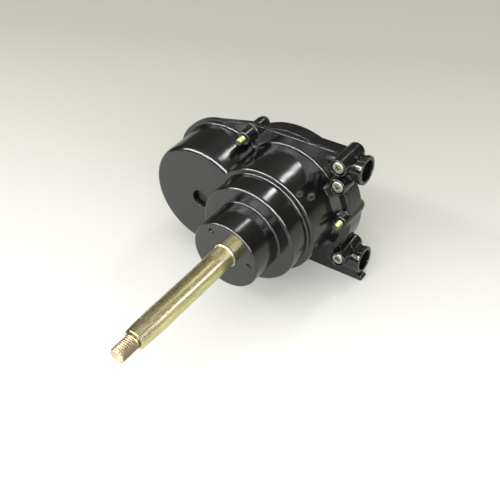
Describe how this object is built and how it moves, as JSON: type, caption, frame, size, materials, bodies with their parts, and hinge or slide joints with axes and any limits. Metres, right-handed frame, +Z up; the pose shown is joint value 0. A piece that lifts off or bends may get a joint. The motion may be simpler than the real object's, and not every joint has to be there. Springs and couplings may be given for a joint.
{
  "type": "boat steering helm",
  "caption": "Boat steering helm: stepped hub and gear lobe on a flange, a cable drum housing with cable ports, and a keyed, threaded steering shaft.",
  "frame": {"origin": "on the steering shaft's axis, in the plane of the hub's front face, which is the centre of its three tapped holes", "axes": "-Y runs out of the hub along the steering shaft to the helmsman, +X to the side of the cable ports, +Z up"},
  "size_m": [0.1904, 0.251, 0.1248],
  "materials": {
    "black_paint": "gloss black paint on die-cast metal",
    "yellow_zinc": "yellow zinc plate with lengthwise grinding lines",
    "pale_zinc": "pale zinc plate",
    "bronze": "sintered bearing bronze",
    "sintered_iron": "oil-filled sintered iron, nearly black",
    "steel": "machined steel with a film of grease",
    "cast_aluminium": "bare die-cast aluminium"
  },
  "bodies": {
    "housing": {"gear_housing": "black_paint", "drum_housing": "black_paint", "hub_bushing": "pale_zinc", "rear_bushing": "bronze", "front_lay_bushing": "sintered_iron", "rear_lay_bushing": "sintered_iron", "lay_washers": "bronze", "brake_drum": "steel", "thrust_washer": "bronze", "through_bolts": "yellow_zinc", "port_screws": "pale_zinc"},
    "steering_shaft_set": {"steering_shaft": "yellow_zinc", "retaining_ring": "steel", "clutch_hub": "steel", "wrap_spring": "steel", "drive_pinion": "steel", "drive_key": "steel"},
    "lay_shaft_set": {"lay_shaft": "steel", "lay_gear": "steel", "lay_spacer": "steel", "lay_pinion": "steel", "lay_key": "steel"},
    "cable_drum_set": {"cable_drum": "cast_aluminium", "drum_gear": "steel", "drum_bushing": "bronze", "drum_rivets": "steel", "drum_washer": "bronze"}
  },
  "joints": [
    {"name": "steering_turn", "type": "hinge", "parent": "housing", "child": "steering_shaft_set", "pos_m": [0, 0, 0], "axis": [0, 1, 0], "range_deg": [-648, 648]},
    {"name": "lay_turn", "type": "hinge", "parent": "housing", "child": "lay_shaft_set", "pos_m": [-0.06394, 0, -0.00279], "axis": [0, 1, 0], "range_deg": [-340, 340]},
    {"name": "drum_turn", "type": "hinge", "parent": "housing", "child": "cable_drum_set", "pos_m": [0, 0, 0], "axis": [0, 1, 0], "range_deg": [-144, 144]}
  ],
  "couplings": [
    {"joint": "lay_turn", "follows": "steering_turn", "ratio": -0.52381},
    {"joint": "drum_turn", "follows": "steering_turn", "ratio": 0.22116}
  ]
}
